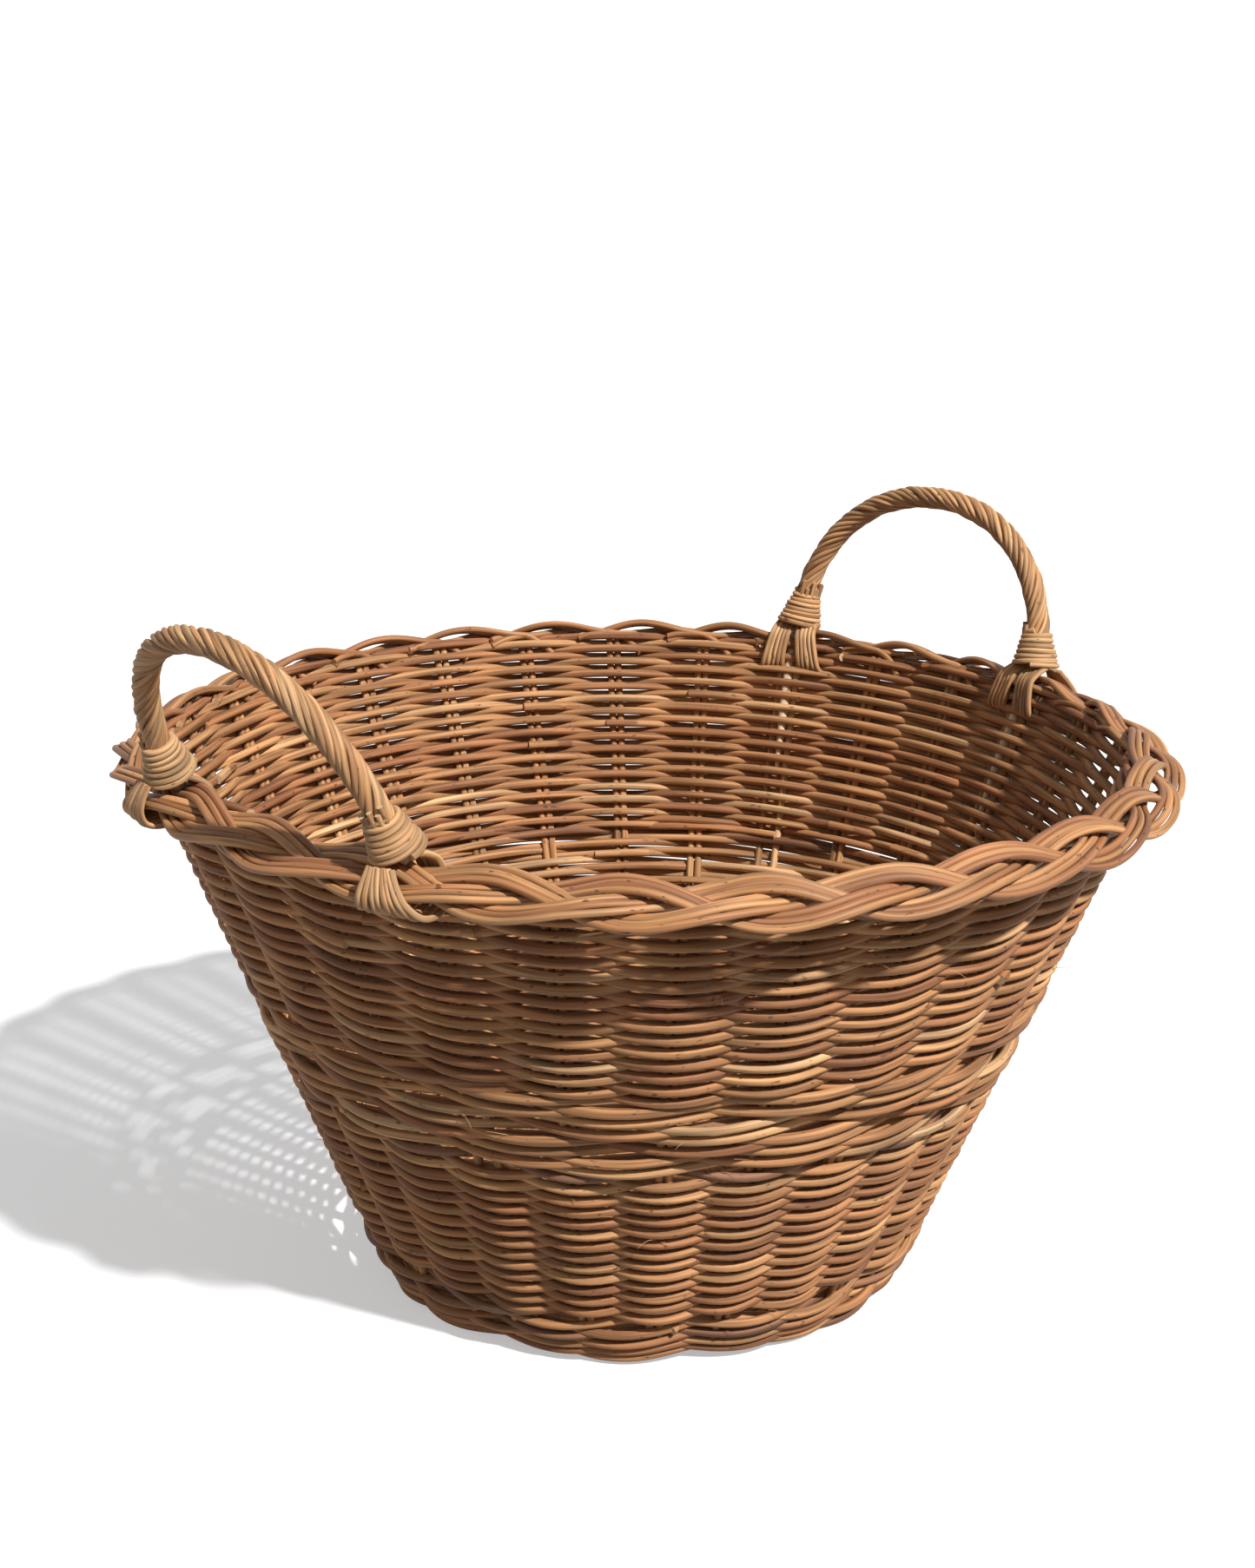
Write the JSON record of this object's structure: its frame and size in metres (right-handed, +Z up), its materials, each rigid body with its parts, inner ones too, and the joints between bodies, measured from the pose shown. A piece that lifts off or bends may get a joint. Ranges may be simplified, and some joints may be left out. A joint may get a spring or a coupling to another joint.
{
  "type": "woven laundry basket",
  "caption": "Round flared laundry basket woven from thin rods on paired stakes, with a waling band at the waist, a plaited border and roped bow handles.",
  "frame": {"origin": "on the floor under the middle of the basket", "axes": "+Z up, +X towards one handle, +Y across the handles"},
  "size_m": [0.5544, 0.5836, 0.3963],
  "materials": {
    "wall_rods": "matt bark-brown rods with a fine grain",
    "stake_rods": "matt brown rods",
    "border_rods": "smooth brown rods with a slight sheen",
    "handle_rods": "matt tan rods",
    "peeled_core": "peeled cream rod"
  },
  "bodies": {
    "root": {"foot_course_01": "wall_rods", "foot_course_02": "wall_rods", "upsett_course_01": "wall_rods", "upsett_course_02": "wall_rods", "lower_course_01": "wall_rods", "lower_course_02": "wall_rods", "lower_course_03": "wall_rods", "lower_course_04": "wall_rods", "lower_course_05": "wall_rods", "lower_course_06": "wall_rods", "lower_course_07": "wall_rods", "waist_course_01": "wall_rods", "waist_course_02": "wall_rods", "waist_course_03": "wall_rods", "waist_course_04": "wall_rods", "upper_course_01": "wall_rods", "upper_course_02": "wall_rods", "upper_course_03": "wall_rods", "upper_course_04": "wall_rods", "upper_course_05": "wall_rods", "upper_course_06": "wall_rods", "upper_course_07": "wall_rods", "side_stakes": "stake_rods", "bye_stakes": "stake_rods", "base_pierced_stick_1": "stake_rods", "base_pierced_stick_2": "stake_rods", "base_pierced_stick_3": "stake_rods", "base_pierced_stick_4": "stake_rods", "base_cross_stick_1": "stake_rods", "base_cross_stick_2": "stake_rods", "base_cross_stick_3": "stake_rods", "base_weaver_first": "wall_rods", "base_weaver_second": "wall_rods", "border_inner_rods": "border_rods", "border_outer_rods": "border_rods", "border_loops_right_near": "handle_rods", "border_loops_right_far": "handle_rods", "border_loops_left_near": "handle_rods", "border_loops_left_far": "handle_rods", "handle_ropes": "handle_rods", "handle_collars": "handle_rods", "handle_bow_right": "peeled_core", "handle_bow_left": "peeled_core"}
  },
  "joints": []
}
